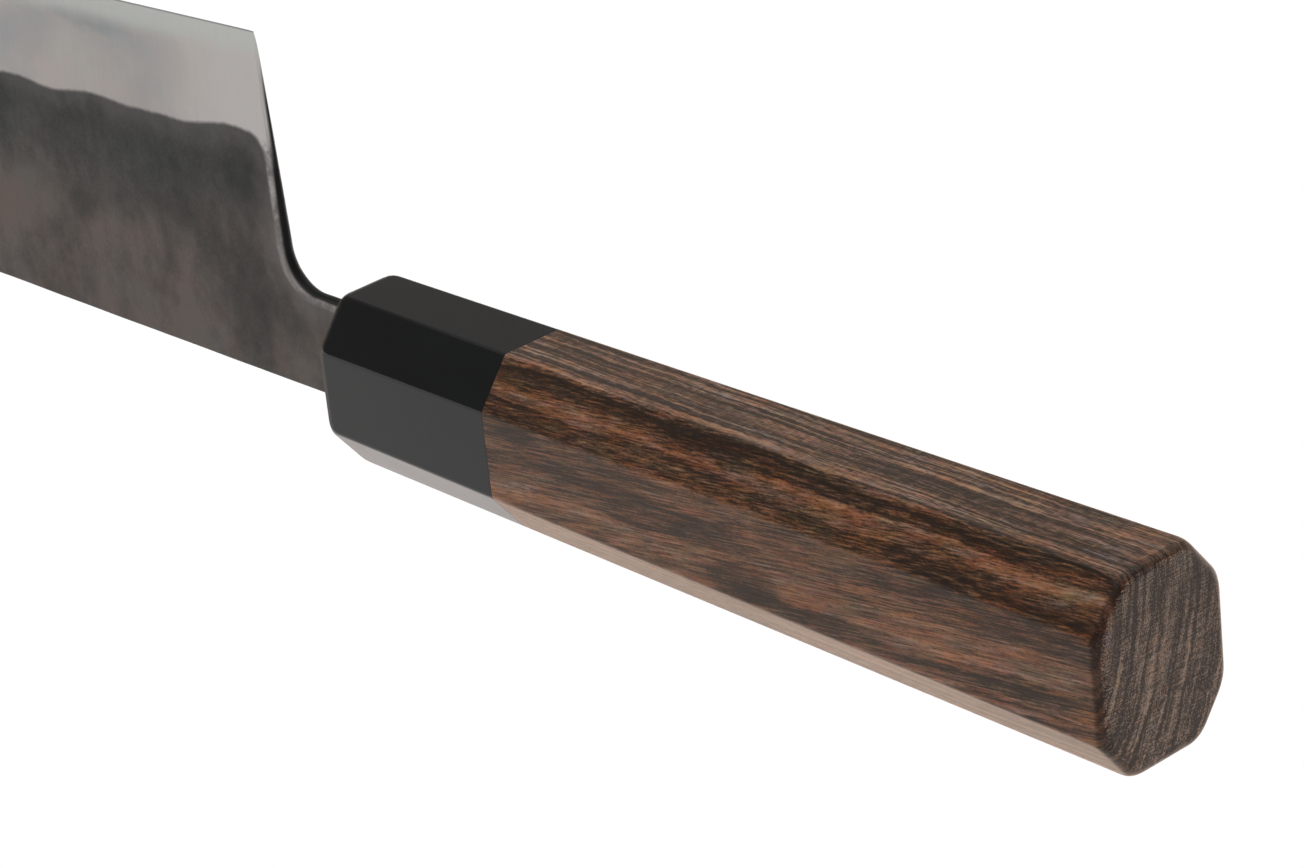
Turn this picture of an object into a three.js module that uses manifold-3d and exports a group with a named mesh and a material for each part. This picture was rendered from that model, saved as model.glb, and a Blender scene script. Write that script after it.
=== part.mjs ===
// A gyuto, the Japanese cook's knife: a three-layer blade with a hidden tang, set in an eight-sided
// handle of hardwood with a horn ferrule. All lengths are in millimetres.
// +X runs from the tip to the butt and +Z from the spine to the cutting edge. The right-hand face of
// the blade looks along -Y. The knife stands edge up, with the handle's spine-side flat on z = 0.

import * as THREE from 'three';
import { mergeVertices } from 'three/addons/utils/BufferGeometryUtils.js';
import Module from 'manifold-3d';

const { lerp, degToRad, clamp, smoothstep } = THREE.MathUtils;

// Handle, outside
const HANDLE_LENGTH = 137.3;
const FERRULE_LENGTH = 33.3;
const BUTT_WIDTH = 20.8;
const BUTT_HEIGHT = 25.5;
const MOUTH_WIDTH = 18;
const MOUTH_HEIGHT = 23.55;
const FACET_WIDTH = 4.8; // reach of each slanted face across the handle
const FACET_HEIGHT = 6.1; // reach of each slanted face along its height
const LONG_EDGE_EASE = 0.35;
const BUTT_ROUND = 1.3;
const MOUTH_ROUND = 2;
const END_CORNER = 1.5; // ease of the long edges at an end face, as a multiple of its rounding
const END_RUN = 1.6; // length over which they soften towards it, likewise

// Handle, inside
const MOUTH_WALL = 6; // horn between the mouth and the dowel's bore
const DOWEL_DIAMETER = 13;
const DOWEL_END_WALL = 8.5; // wood behind the slot for the tang
const DOWEL_CHAMFER = 0.8;
const GLUE_GAP = 0.3;
const RESIN_WALL = 0.6;
const RESIN_END = 1.5;
const RESIN_RECESS = 0.4;

// Blade outline
const BLADE_LENGTH = 240; // heel to tip
const HEEL_HEIGHT = 49.2; // spine to edge, at the heel
const NECK_LENGTH = 15.7; // choil to ferrule
const NECK_HEIGHT = 13.3;
const CHOIL_RADIUS = 5.5;
const CHOIL_LEAN = degToRad(1.7); // slope of the choil back from the heel
const SPINE_RISE = 5.97; // spine above the handle's flat, at the mouth
const SPINE_TILT = degToRad(1.15);
const TIP_DROP = 10.5; // how far the spine bends towards the edge at the tip
const TIP_RUN = 75; // length of that bend
const HEEL_FALL = degToRad(3.4); // slope of the edge where it leaves the heel
const HEEL_STRETCH = 118; // how far that slope governs the edge
const TIP_SWEEP = degToRad(33); // slope of the edge where it reaches the tip
const TIP_STRETCH = 58; // how far that slope governs the edge

// Blade thickness and grind
const SPINE_AT_HEEL = 3.3;
const SPINE_AT_TIP = 1;
const SPINE_EASE = 0.4;
const CHOIL_EASE = 0.6;
const BEVEL_WIDTH = 15.1; // ground bevel, measured from the edge
const BEVEL_TOP_AT_HEEL = 1.5;
const BEVEL_TOP_AT_TIP = 0.8;
const BEVEL_TIP_SHARE = 0.7; // most of the blade's height that the bevel takes near the tip
const HEEL_RISE = 1.2; // how much narrower the bevel is at the heel
const HEEL_RISE_RUN = 15.5;
const WAVE_HEIGHT = 0.29; // the bevel's hand-ground inner line
const WAVE_PITCH = 24;
const WAVE_START = 10.2; // first crest, measured from the heel
const RIPPLE_HEIGHT = 0.35;
const RIPPLE_PITCH = 14.9;
const RIPPLE_START = 8.2;
const CORE_THICKNESS = 0.6;
const CORE_SHOW = 3; // width of the core's strip along the edge
const CORE_TIP_SHARE = 0.25; // most of the blade's height that the strip takes near the tip

// Tang
const TANG_THICKNESS = 3.3;
const TANG_LENGTH = 80; // from the ferrule's mouth
const TANG_HEIGHT = 9; // behind the shoulder
const TANG_TAIL_HEIGHT = 5;
const SHOULDER_DEPTH = 4; // shoulder behind the ferrule's mouth

// Facets
const BLADE_STATIONS = 60;
const ROUND_STEPS = 4;
const CORNER_STEPS = 3;
const CHOIL_STEPS = 6;
const DOWEL_SIDES = 24;

// Stations along the knife, which is centred on x = 0
const X_TIP = -(BLADE_LENGTH + NECK_LENGTH + HANDLE_LENGTH) / 2;
const X_HEEL = X_TIP + BLADE_LENGTH;
const X_MOUTH = X_HEEL + NECK_LENGTH;
const X_JOINT = X_MOUTH + FERRULE_LENGTH;
const X_BUTT = X_MOUTH + HANDLE_LENGTH;
const X_SHOULDER = X_MOUTH + SHOULDER_DEPTH;
const X_TAIL = X_MOUTH + TANG_LENGTH;
const X_DOWEL = X_MOUTH + MOUTH_WALL;
const X_SLOT_END = X_TAIL + RESIN_END;
const X_DOWEL_END = X_SLOT_END + DOWEL_END_WALL;

const NECK_BOTTOM = SPINE_RISE;
const NECK_TOP = SPINE_RISE + NECK_HEIGHT;
const CHOIL_TOP = NECK_TOP + CHOIL_RADIUS * (1 - Math.sin(CHOIL_LEAN));
const TANG_HALF = TANG_THICKNESS / 2;
const CORE_HALF = CORE_THICKNESS / 2;
const HANDLE_AXIS = lerp(MOUTH_HEIGHT, BUTT_HEIGHT, FERRULE_LENGTH / HANDLE_LENGTH) / 2;

const wasm = await Module();
wasm.setup();

// Solids

function toSolid(geometry) {
  const bare = geometry.clone();
  bare.deleteAttribute('normal');
  bare.deleteAttribute('uv');
  const merged = mergeVertices(bare);
  const corners = merged.index.array;
  const kept = [];
  for (let i = 0; i < corners.length; i += 3) {
    const [a, b, c] = corners.slice(i, i + 3);
    if (a !== b && b !== c && c !== a) kept.push(a, b, c);
  }
  const mesh = new wasm.Mesh({
    numProp: 3,
    vertProperties: new Float32Array(merged.attributes.position.array),
    triVerts: new Uint32Array(kept),
  });
  return new wasm.Manifold(mesh);
}

function toMesh(name, solid, look) {
  const { vertProperties, triVerts } = solid.getMesh();
  const geometry = new THREE.BufferGeometry();
  geometry.setAttribute('position', new THREE.BufferAttribute(vertProperties, 3));
  geometry.setIndex(new THREE.BufferAttribute(triVerts, 1));
  geometry.computeVertexNormals();
  const mesh = new THREE.Mesh(geometry, new THREE.MeshStandardMaterial(look));
  mesh.name = name;
  return mesh;
}

// Skins rings of equal count, each running anticlockwise when seen from +X, and closes both ends.
function loft(rings) {
  const count = rings[0].length;
  const corners = [];
  for (let i = 0; i + 1 < rings.length; i += 1) {
    for (let j = 0; j < count; j += 1) {
      const a = i * count + j;
      const b = i * count + ((j + 1) % count);
      corners.push(a, b, b + count, a, b + count, a + count);
    }
  }
  const last = (rings.length - 1) * count;
  for (let j = 1; j + 1 < count; j += 1) {
    corners.push(0, j + 1, j);
    corners.push(last, last + j, last + j + 1);
  }
  const geometry = new THREE.BufferGeometry().setFromPoints(rings.flat());
  geometry.setIndex(corners);
  return toSolid(geometry);
}

function block(x, y, z) {
  const geometry = new THREE.BoxGeometry(x[1] - x[0], y[1] - y[0], z[1] - z[0]);
  geometry.translate((x[0] + x[1]) / 2, (y[0] + y[1]) / 2, (z[0] + z[1]) / 2);
  return toSolid(geometry);
}

// A round bar on the handle's axis, with its ends chamfered.
function roundBar(radius, from, to, chamfer) {
  const length = to - from;
  const profile = [
    new THREE.Vector2(0, 0),
    new THREE.Vector2(radius - chamfer, 0),
    new THREE.Vector2(radius, chamfer),
    new THREE.Vector2(radius, length - chamfer),
    new THREE.Vector2(radius - chamfer, length),
    new THREE.Vector2(0, length),
  ];
  const geometry = new THREE.LatheGeometry(profile, DOWEL_SIDES);
  geometry.rotateZ(-Math.PI / 2);
  geometry.translate(from, 0, HANDLE_AXIS);
  return toSolid(geometry);
}

// Blade outline: the spine is a straight line that bends to the tip, and the edge is one long curve

function spineLine(x) {
  return SPINE_RISE + (x - X_MOUTH) * Math.tan(SPINE_TILT);
}

function spineZ(x) {
  const bend = clamp((X_TIP + TIP_RUN - x) / TIP_RUN, 0, 1);
  return spineLine(x) + TIP_DROP * bend * bend;
}

function edgeCurve() {
  const tip = new THREE.Vector2(X_TIP, spineZ(X_TIP));
  const heel = new THREE.Vector2(X_HEEL, spineLine(X_HEEL) + HEEL_HEIGHT);
  const sweep = new THREE.Vector2(Math.cos(TIP_SWEEP), Math.sin(TIP_SWEEP));
  const fall = new THREE.Vector2(-Math.cos(HEEL_FALL), -Math.sin(HEEL_FALL));
  const nearTip = tip.clone().addScaledVector(sweep, TIP_STRETCH);
  const nearHeel = heel.clone().addScaledVector(fall, HEEL_STRETCH);
  return new THREE.CubicBezierCurve(tip, nearTip, nearHeel, heel);
}

// Blade sections: a ring goes up the left side from the spine, over the edge and down the right side

function ringOf(leftSide, top) {
  const right = leftSide.map((p) => new THREE.Vector3(p.x, -p.y, p.z)).reverse();
  return [...leftSide, top, ...right];
}

function alongBlade(x) {
  return clamp((x - X_TIP) / BLADE_LENGTH, 0, 1);
}

function bevelLine(x, edge) {
  const fromHeel = X_HEEL - x;
  const rise = HEEL_RISE * Math.exp(-((fromHeel / HEEL_RISE_RUN) ** 2));
  const wave = WAVE_HEIGHT * Math.cos((2 * Math.PI * (fromHeel - WAVE_START)) / WAVE_PITCH);
  const ripple = RIPPLE_HEIGHT * Math.cos((2 * Math.PI * (fromHeel - RIPPLE_START)) / RIPPLE_PITCH);
  const most = BEVEL_TIP_SHARE * (edge - spineZ(x));
  return edge - Math.min(BEVEL_WIDTH - rise - wave - ripple, most);
}

function bladeHalves(x) {
  const along = alongBlade(x);
  return {
    spine: lerp(SPINE_AT_TIP, SPINE_AT_HEEL, along) / 2,
    bevel: lerp(BEVEL_TOP_AT_TIP, BEVEL_TOP_AT_HEEL, along) / 2,
  };
}

const HEEL_EDGE = spineLine(X_HEEL) + HEEL_HEIGHT;
const CHOIL_SHARE = (CHOIL_TOP - spineZ(X_HEEL)) / (bevelLine(X_HEEL, HEEL_EDGE) - spineZ(X_HEEL));

function bladePoints(x, edge) {
  const half = bladeHalves(x);
  const spine = spineZ(x);
  const bevel = bevelLine(x, edge);
  const strip = edge - Math.min(CORE_SHOW, CORE_TIP_SHARE * (edge - spine));
  const ease = Math.min(SPINE_EASE, half.spine / 2, (bevel - spine) / 4);
  return {
    spineFlat: new THREE.Vector3(x, half.spine - ease, spine),
    spineSide: new THREE.Vector3(x, half.spine, spine + ease),
    shoulder: new THREE.Vector3(x, lerp(half.spine, half.bevel, CHOIL_SHARE), lerp(spine, bevel, CHOIL_SHARE)),
    bevel: new THREE.Vector3(x, half.bevel, bevel),
    strip: new THREE.Vector3(x, CORE_HALF, strip),
    edge: new THREE.Vector3(x, 0, edge),
  };
}

function bladeRing(x, edge) {
  const p = bladePoints(x, edge);
  return ringOf([p.spineFlat, p.spineSide, p.shoulder, p.shoulder.clone(), p.bevel, p.strip], p.edge);
}

// The choil leans back from the heel. The faces end short of it, and its flat is narrower than the blade.

function choilX(z) {
  return X_HEEL + (HEEL_EDGE - z) * Math.tan(CHOIL_LEAN);
}

function easedHalf(half) {
  return Math.max(half - CHOIL_EASE, half / 2);
}

function choilRings() {
  const side = bladePoints(X_HEEL - CHOIL_EASE, HEEL_EDGE);
  const back = CHOIL_EASE * Math.cos(CHOIL_LEAN);
  const down = CHOIL_EASE * Math.sin(CHOIL_LEAN);
  const onFace = (p) => new THREE.Vector3(choilX(p.z) - back, p.y, p.z - down);
  const onChoil = (p) => new THREE.Vector3(choilX(p.z), easedHalf(p.y), p.z);
  const spine = [side.spineFlat, side.spineSide, onFace(side.shoulder)];
  const face = [...spine, onFace(side.shoulder), onFace(side.bevel), onFace(side.strip)];
  const choil = [...spine, onChoil(side.shoulder), onChoil(side.bevel), onChoil(side.strip)];
  const heel = new THREE.Vector3(X_HEEL, 0, HEEL_EDGE);
  return [ringOf(face, side.edge), ringOf(choil, heel)];
}

// Neck and tang: four-sided with eased edges. The upper corner has one point on the side, one on top.
function barRing({ x, half, bottom, sideTop, top }) {
  const ease = SPINE_EASE;
  const left = [
    new THREE.Vector3(x, half.bottom - ease, bottom),
    new THREE.Vector3(x, half.bottom, bottom + ease),
    new THREE.Vector3(sideTop.x, half.top, sideTop.y),
    new THREE.Vector3(top.x, easedHalf(half.top), top.y),
    new THREE.Vector3(top.x, easedHalf(half.top), top.y),
    new THREE.Vector3(top.x, easedHalf(half.top) / 2, top.y),
  ];
  return ringOf(left, new THREE.Vector3(top.x, 0, top.y));
}

function neckRings() {
  const reach = CHOIL_RADIUS * Math.cos(CHOIL_LEAN);
  const centre = new THREE.Vector2(choilX(CHOIL_TOP) + reach, NECK_TOP + CHOIL_RADIUS);
  const heel = bladePoints(X_HEEL - CHOIL_EASE, HEEL_EDGE);
  const rings = [];
  for (let i = 0; i <= CHOIL_STEPS; i += 1) {
    const turn = lerp(CHOIL_LEAN, Math.PI / 2, i / CHOIL_STEPS);
    const inward = new THREE.Vector2(-Math.cos(turn), -Math.sin(turn));
    const top = centre.clone().addScaledVector(inward, CHOIL_RADIUS);
    const sideTop = centre.clone().addScaledVector(inward, CHOIL_RADIUS + CHOIL_EASE);
    const x = lerp(heel.edge.x, centre.x, i / CHOIL_STEPS);
    const along = (x - heel.edge.x) / (X_MOUTH - heel.edge.x);
    const half = {
      bottom: lerp(heel.spineSide.y, TANG_HALF, along),
      top: lerp(heel.shoulder.y, TANG_HALF, along),
    };
    rings.push(barRing({ x, half, bottom: spineLine(x), sideTop, top }));
  }
  return rings;
}

function tangRing(x, bottom, topZ) {
  const sideTop = new THREE.Vector2(x, topZ - CHOIL_EASE);
  const top = new THREE.Vector2(x, topZ);
  return barRing({ x, half: { bottom: TANG_HALF, top: TANG_HALF }, bottom, sideTop, top });
}

function tangRings() {
  return [
    tangRing(X_MOUTH, NECK_BOTTOM, NECK_TOP),
    tangRing(X_SHOULDER, NECK_BOTTOM, NECK_TOP),
    tangRing(X_SHOULDER, HANDLE_AXIS - TANG_HEIGHT / 2, HANDLE_AXIS + TANG_HEIGHT / 2),
    tangRing(X_TAIL, HANDLE_AXIS - TANG_TAIL_HEIGHT / 2, HANDLE_AXIS + TANG_TAIL_HEIGHT / 2),
  ];
}

function bladeSolid() {
  const curve = edgeCurve();
  const rings = [];
  for (let i = 0; i < BLADE_STATIONS; i += 1) {
    const { x, y: edge } = curve.getPointAt(i / BLADE_STATIONS);
    rings.push(bladeRing(x, edge));
  }
  return loft([...rings, ...choilRings(), ...neckRings(), ...tangRings()]);
}

// The three layers share two flat planes, so they touch all over without a gap.
function bladeLayers() {
  const whole = bladeSolid();
  const { min, max } = whole.boundingBox();
  const x = [min[0] - 1, max[0] + 1];
  const z = [min[2] - 1, max[2] + 1];
  return {
    core: whole.intersect(block(x, [-CORE_HALF, CORE_HALF], z)),
    left: whole.intersect(block(x, [CORE_HALF, max[1] + 1], z)),
    right: whole.intersect(block(x, [min[1] - 1, -CORE_HALF], z)),
  };
}

// Handle: an octagon standing on z = 0 whose long edges are eased

function easedCorner(before, corner, after, ease) {
  const [start, end] = [before, after].map((other) => {
    const side = other.clone().sub(corner);
    side.setLength(Math.min(ease, side.length() / 2));
    return side.add(corner);
  });
  return new THREE.QuadraticBezierCurve3(start, corner, end).getPoints(CORNER_STEPS);
}

function handleRing(x, inset, ease) {
  const along = (x - X_MOUTH) / HANDLE_LENGTH;
  const halfWidth = lerp(MOUTH_WIDTH, BUTT_WIDTH, along) / 2 - inset;
  const top = lerp(MOUTH_HEIGHT, BUTT_HEIGHT, along) - inset;
  const slant = Math.hypot(1 / FACET_WIDTH, 1 / FACET_HEIGHT);
  const shrink = 1 - inset * (1 / FACET_WIDTH + 1 / FACET_HEIGHT - slant);
  const across = FACET_WIDTH * shrink;
  const up = FACET_HEIGHT * shrink;
  const corners = [
    [halfWidth, inset + up],
    [halfWidth, top - up],
    [halfWidth - across, top],
    [across - halfWidth, top],
    [-halfWidth, top - up],
    [-halfWidth, inset + up],
    [across - halfWidth, inset],
    [halfWidth - across, inset],
  ].map(([y, z]) => new THREE.Vector3(x, y, z));
  return corners.flatMap((corner, i) => {
    const before = corners[(i + corners.length - 1) % corners.length];
    const after = corners[(i + 1) % corners.length];
    return easedCorner(before, corner, after, ease);
  });
}

// Rings that round off an end of the handle, from the flat end face to the full section. The long
// edges soften towards the end face.
function roundedEnd(endX, radius, inwards) {
  const run = END_RUN * radius;
  const ringAt = (distance, inset) => {
    const softness = 1 - smoothstep(distance, 0, run);
    const ease = lerp(LONG_EDGE_EASE, END_CORNER * radius, softness);
    return handleRing(endX + inwards * distance, inset, ease);
  };
  const rings = [];
  for (let i = 0; i <= ROUND_STEPS; i += 1) {
    const turn = (i / ROUND_STEPS) * (Math.PI / 2);
    rings.push(ringAt(radius * (1 - Math.cos(turn)), radius * (1 - Math.sin(turn))));
  }
  return [...rings, ringAt(run, 0)];
}

function dowelBore() {
  return roundBar(DOWEL_DIAMETER / 2 + GLUE_GAP, X_DOWEL, X_DOWEL_END + GLUE_GAP, 0);
}

const SLOT_HALF = TANG_HALF + RESIN_WALL;
const MOUTH_SLOT_Z = [NECK_BOTTOM - RESIN_WALL, NECK_TOP + RESIN_WALL];
const DOWEL_SLOT_Z = [
  HANDLE_AXIS - TANG_HEIGHT / 2 - RESIN_WALL,
  HANDLE_AXIS + TANG_HEIGHT / 2 + RESIN_WALL,
];

function ferruleSolid() {
  const joint = handleRing(X_JOINT, 0, LONG_EDGE_EASE);
  const outside = loft([...roundedEnd(X_MOUTH, MOUTH_ROUND, 1), joint]);
  const slot = block([X_MOUTH - 1, X_DOWEL + 1], [-SLOT_HALF, SLOT_HALF], MOUTH_SLOT_Z);
  return outside.subtract(dowelBore()).subtract(slot);
}

function bodySolid() {
  const joint = handleRing(X_JOINT, 0, LONG_EDGE_EASE);
  const butt = roundedEnd(X_BUTT, BUTT_ROUND, -1).reverse();
  const outside = loft([joint, ...butt]);
  return outside.subtract(dowelBore());
}

function dowelSolid() {
  const bar = roundBar(DOWEL_DIAMETER / 2, X_DOWEL, X_DOWEL_END, DOWEL_CHAMFER);
  return bar.subtract(block([X_DOWEL - 1, X_SLOT_END], [-SLOT_HALF, SLOT_HALF], DOWEL_SLOT_Z));
}

// The resin fills the slots. It touches the tang's flat sides and clears its tapered edges.
function resinSolid() {
  const across = [-SLOT_HALF, SLOT_HALF];
  const inMouth = block([X_MOUTH + RESIN_RECESS, X_DOWEL], across, MOUTH_SLOT_Z);
  const inDowel = block([X_DOWEL, X_SLOT_END], across, DOWEL_SLOT_Z);
  const sides = [-TANG_HALF, TANG_HALF];
  const neck = block([X_MOUTH, X_SHOULDER], sides, [NECK_BOTTOM, NECK_TOP]);
  const end = (x, height) => {
    const reach = height / 2 + GLUE_GAP;
    return [
      new THREE.Vector3(x, TANG_HALF, HANDLE_AXIS - reach),
      new THREE.Vector3(x, TANG_HALF, HANDLE_AXIS + reach),
      new THREE.Vector3(x, -TANG_HALF, HANDLE_AXIS + reach),
      new THREE.Vector3(x, -TANG_HALF, HANDLE_AXIS - reach),
    ];
  };
  const tang = loft([end(X_SHOULDER, TANG_HEIGHT), end(X_TAIL + GLUE_GAP, TANG_TAIL_HEIGHT)]);
  return inMouth.add(inDowel).subtract(neck).subtract(tang);
}

// Assembly

const FORGE_SCALE = { color: 0x4d4845, roughness: 0.6, metalness: 0.6 };

const layers = bladeLayers();
const knife = new THREE.Group();
knife.add(
  toMesh('core_steel', layers.core, { color: 0x9c9c98, roughness: 0.35, metalness: 1 }),
  toMesh('cladding_left', layers.left, FORGE_SCALE),
  toMesh('cladding_right', layers.right, FORGE_SCALE),
  toMesh('ferrule', ferruleSolid(), { color: 0x1b1a1a, roughness: 0.35, metalness: 0 }),
  toMesh('handle_body', bodySolid(), { color: 0x5d4030, roughness: 0.5, metalness: 0 }),
  toMesh('inner_dowel', dowelSolid(), { color: 0xb08f60, roughness: 0.7, metalness: 0 }),
  toMesh('tang_resin', resinSolid(), { color: 0x35271c, roughness: 0.3, metalness: 0 }),
);

export default knife;
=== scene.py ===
import math

import bmesh
import bpy
from mathutils import Matrix, Vector, noise


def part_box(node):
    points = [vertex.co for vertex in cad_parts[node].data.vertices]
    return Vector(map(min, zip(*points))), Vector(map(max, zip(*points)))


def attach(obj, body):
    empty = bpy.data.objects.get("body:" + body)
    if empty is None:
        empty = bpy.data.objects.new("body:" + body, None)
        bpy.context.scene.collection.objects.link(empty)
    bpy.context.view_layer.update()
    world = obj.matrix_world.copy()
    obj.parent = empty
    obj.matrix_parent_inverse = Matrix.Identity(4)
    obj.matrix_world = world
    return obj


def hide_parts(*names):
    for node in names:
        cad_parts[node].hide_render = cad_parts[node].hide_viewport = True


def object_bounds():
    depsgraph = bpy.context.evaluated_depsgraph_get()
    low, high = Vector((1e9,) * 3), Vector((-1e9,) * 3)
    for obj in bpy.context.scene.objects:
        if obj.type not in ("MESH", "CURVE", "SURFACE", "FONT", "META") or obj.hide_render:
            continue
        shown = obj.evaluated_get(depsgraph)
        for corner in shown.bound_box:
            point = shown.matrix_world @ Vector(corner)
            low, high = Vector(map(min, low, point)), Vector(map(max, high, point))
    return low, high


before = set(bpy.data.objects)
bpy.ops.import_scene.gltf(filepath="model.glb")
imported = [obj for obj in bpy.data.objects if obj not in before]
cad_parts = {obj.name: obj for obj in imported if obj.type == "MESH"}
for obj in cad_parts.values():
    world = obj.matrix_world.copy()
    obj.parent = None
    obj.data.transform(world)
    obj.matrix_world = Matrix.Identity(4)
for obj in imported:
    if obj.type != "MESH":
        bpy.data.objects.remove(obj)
cad_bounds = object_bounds()

# A gyuto seen from behind its butt, edge up. Shapes are worked out in millimetres in the model's own
# frame: +X runs from the tip to the butt, +Z from the spine to the edge, and the right-hand face of
# the blade looks along -Y.
MM = 0.001

# Handle
HANDLE_SIDES = 8
FIRST_CORNER = math.radians(-67.5)  # where its corners start, turning from +Y to +Z
FACET_WIDTH = 4.8
FACET_HEIGHT = 6.1
LONG_EDGE_EASE = 0.35
BUTT_ROUND = 1.3
BUTT_CORNER = 1.95  # ease of the long edges at the butt
MOUTH_ROUND = 1.7
MOUTH_CORNER = 1.5  # ease of the long edges at the mouth
END_RUN = 1.6  # length over which they soften towards an end, as a multiple of its rounding
SEAM_EASE = 0.05  # broken edges where horn meets wood
SLOT_CORNER = 0.8
BODY_RINGS = 12
BUTT_FACE_RINGS = 4
CORNER_STEPS = 5
ROUND_STEPS = 6
SOFT_STEPS = 3
SHARP_ANGLE = math.radians(35)  # edges that turn more than this are shaded as sharp

# Blade outline
NECK_LENGTH = 15.7
NECK_HEIGHT = 13.3
CHOIL_RADIUS = 5.5
CHOIL_LEAN = math.radians(1.7)
LEAN_RUN = 25.0  # length of face over which its rows turn to the choil's slope
RESIN_WALL = 0.6
SPINE_TILT = math.radians(1.15)
TIP_DROP = 10.5
TIP_RUN = 75.0
HEEL_FALL = math.radians(3.4)
HEEL_STRETCH = 118.0
TIP_SWEEP = math.radians(33)
TIP_STRETCH = 58.0
TIP_BLUNT = 0.3
EDGE_TOLERANCE = 1e-7  # along the edge's curve, which runs from 0 to 1

# Blade thickness and grind
SPINE_AT_HEEL = 3.3
SPINE_AT_TIP = 1.0
SPINE_EASE = 0.4
CHOIL_EASE = 0.7
CHOIL_EASE_SHARE = 0.8  # the most of the cladding's thickness that this ease takes
BEVEL_WIDTH = 15.2
BEVEL_NARROWING = 0.007  # for each millimetre from the heel
BEVEL_TOP_AT_HEEL = 1.5
BEVEL_TOP_AT_TIP = 0.8
BEVEL_TIP_SHARE = 0.7  # its most width near the tip, as a share of the blade's height
BEVEL_TIP_BEND = 6.0  # softness of the bend where that share takes over
HEEL_RISE = 1.03
HEEL_RISE_RUN = 13.0
WAVE_HEIGHT = 0.26
WAVE_PITCH = 25.7
WAVE_START = 9.2
RIPPLE_HEIGHT = 0.18
RIPPLE_PITCH = 15.6
RIPPLE_START = 7.7
CORE_HALF = 0.3
CORE_SHOW = 3.0
CORE_TIP_SHARE = 0.25
STRIP_SLOPE = 0.3  # slope of the strip where it leaves the bevel, as a share of its mean slope
HAMMER_DEPTH = 0.07  # broad dents of the forged faces
HAMMER_LENGTH = 11.0
HAMMER_HEIGHT = 26.0
HAMMER_SEED = 3.1
PEEN_DEPTH = 0.02  # small dents
PEEN_LENGTH = 5.0
PEEN_HEIGHT = 6.0
PEEN_SEED = 7.7
BEVEL_CALM = 4.0  # the dents fade out over this much before the bevel
MOUTH_CALM = 8.0  # and over this much before the mouth
FLAT_TURN = 0.7  # a corner counts as part of the flat beside it while its normal's y is below this
BORDER_SPREAD = 1.2  # reach of such a flat, as a multiple of its corner's ease
RIM_WEAR = 0.08  # bare strip beside the eased edge of the choil and the neck
RIM_CORNER = 3.5  # softness of the corner where that strip meets the bevel
BLACK_FROM_FOOT = -1.1  # across the choil, its black tone begins here at the foot: scale, and painted shade over ground steel
BLACK_FROM_HEEL = 0.68  # and here at the heel
BLACK_FADE = 0.3

# Tang
TANG_HALF = 1.65
TANG_HEIGHT = 9.0
TANG_TAIL_HEIGHT = 5.0
SHOULDER_DEPTH = 4.0
SHOULDER_SLOPE = 0.3

# Facets of the blade
COARSE_STEP = 1.2
FINE_STEP = 0.5
FINE_LENGTH = 70.0
LOWER_ROWS = 16
UPPER_ROWS = 16
BEVEL_ROWS = 12
STRIP_ROWS = 6
FILLET_STEPS = 14
EASE_STEPS = 8
WELD = 0.0005

# Grain of the wood
PITH = (144.5, -43.0, 23.0)  # a place on the pith, beside the handle's right-hand side
PITH_COURSE = Vector((1.0, -0.007, 0.087)).normalized()  # it rises towards the butt
GRAIN_SLOPE = math.radians(8)  # as the fibres do
RING_PITCH = 2.75
RING_SHIFT = 0.24  # in rings
RING_SWAYS = [((75, 30, 30), 0.4), ((22, 9, 9), 0.3), ((2.5, 0.8, 0.8), 0.1)]  # size, reach in rings
LINE_SIZES = [(3.4, 60, 14), (8.0, 30, 6)]  # fine lines to a ring, and their size along and around
CLOUD_SIZE = (24, 6, 6)
FIBRE_SIZE = (6, 0.2, 0.2)
RAY_SIZE = (0.5, 4.0, 0.17)
PORE_SIZE = (2.2, 0.19, 0.19)
PORE_EDGE = (0.61, 0.7)  # levels of their noise
PORE_SHARE = 0.68
PORE_SINK = 0.6  # as a share of the relief
WOOD_RELIEF = 0.025
WOOD_DRIFTS = [  # size, and the drift of each colour
    ((7, 1.6, 1.6), (1.2, -0.5, -1.6)),
    ((5, 1.2, 1.2), (0.35, 0.35, -1.2)),
]
DRIFT_LOSS = 0.55  # share of it that the butt lacks
SHADE_RUN = 80.0  # from the joint to where the wood is least dark
SHADE_DEPTHS = (0.04, 0.095)  # least and most
PALE_HEIGHTS = (20, 16, 0.0, 0.03)  # the right-hand side grows a little paler downwards
PAINTED_REFLECTION_SPREAD = 1.0  # softness of the step to the painted reflection of the floor on the lower facets
END_GRAIN_START = 0.3  # in front of the butt
END_GRAIN_FULL = 0.1
EDGE_SHADE_START = 1.5  # painted shade on the rounded edge round the butt
EDGE_SHADE_FULL = 0.8
EDGE_SHADE_SHARE = 0.65
FLECK_REACH = 1.3  # where a fleck or stain ends, as a multiple of its half size
FLECK_CORE = 0.5  # and where it has its full strength
FLECK_SWAY = ((3, 1, 1), 0.6)  # size and reach of its ragged border
FLECKS = [  # place, half size and change of tone in the right-hand side
    ((98.3, -9.4, 16.8), (3.4, 4.0, 1.5), -0.16),
    ((138.7, -9.8, 9.2), (6.5, 4.0, 2.2), -0.22),
    ((186.8, -10.5, 18.6), (1.4, 2.0, 0.6), -0.16),
    ((97.0, -9.3, 11.5), (9.0, 4.0, 6.0), 0.06),
    ((123.0, -9.7, 13.5), (12.0, 4.0, 6.0), -0.03),
]

# Wood by its distance from the pith: two radii, and the strengths there unless they are 0 and 1
BOLD_RADII = (33, 36, 0.7, 1.0)  # the bold bands gain strength
CALM_RADII = (36.5, 39, 0.14, 0.02)  # they die down
FINE_RADII = (36, 39, 0.6, 1.5)  # the fine lines gain strength
SHADE_RADII = (37, 39)  # the wood is darker
GREY_RADII = (37, 40, 0.0, 0.45)  # and greyer

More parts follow.
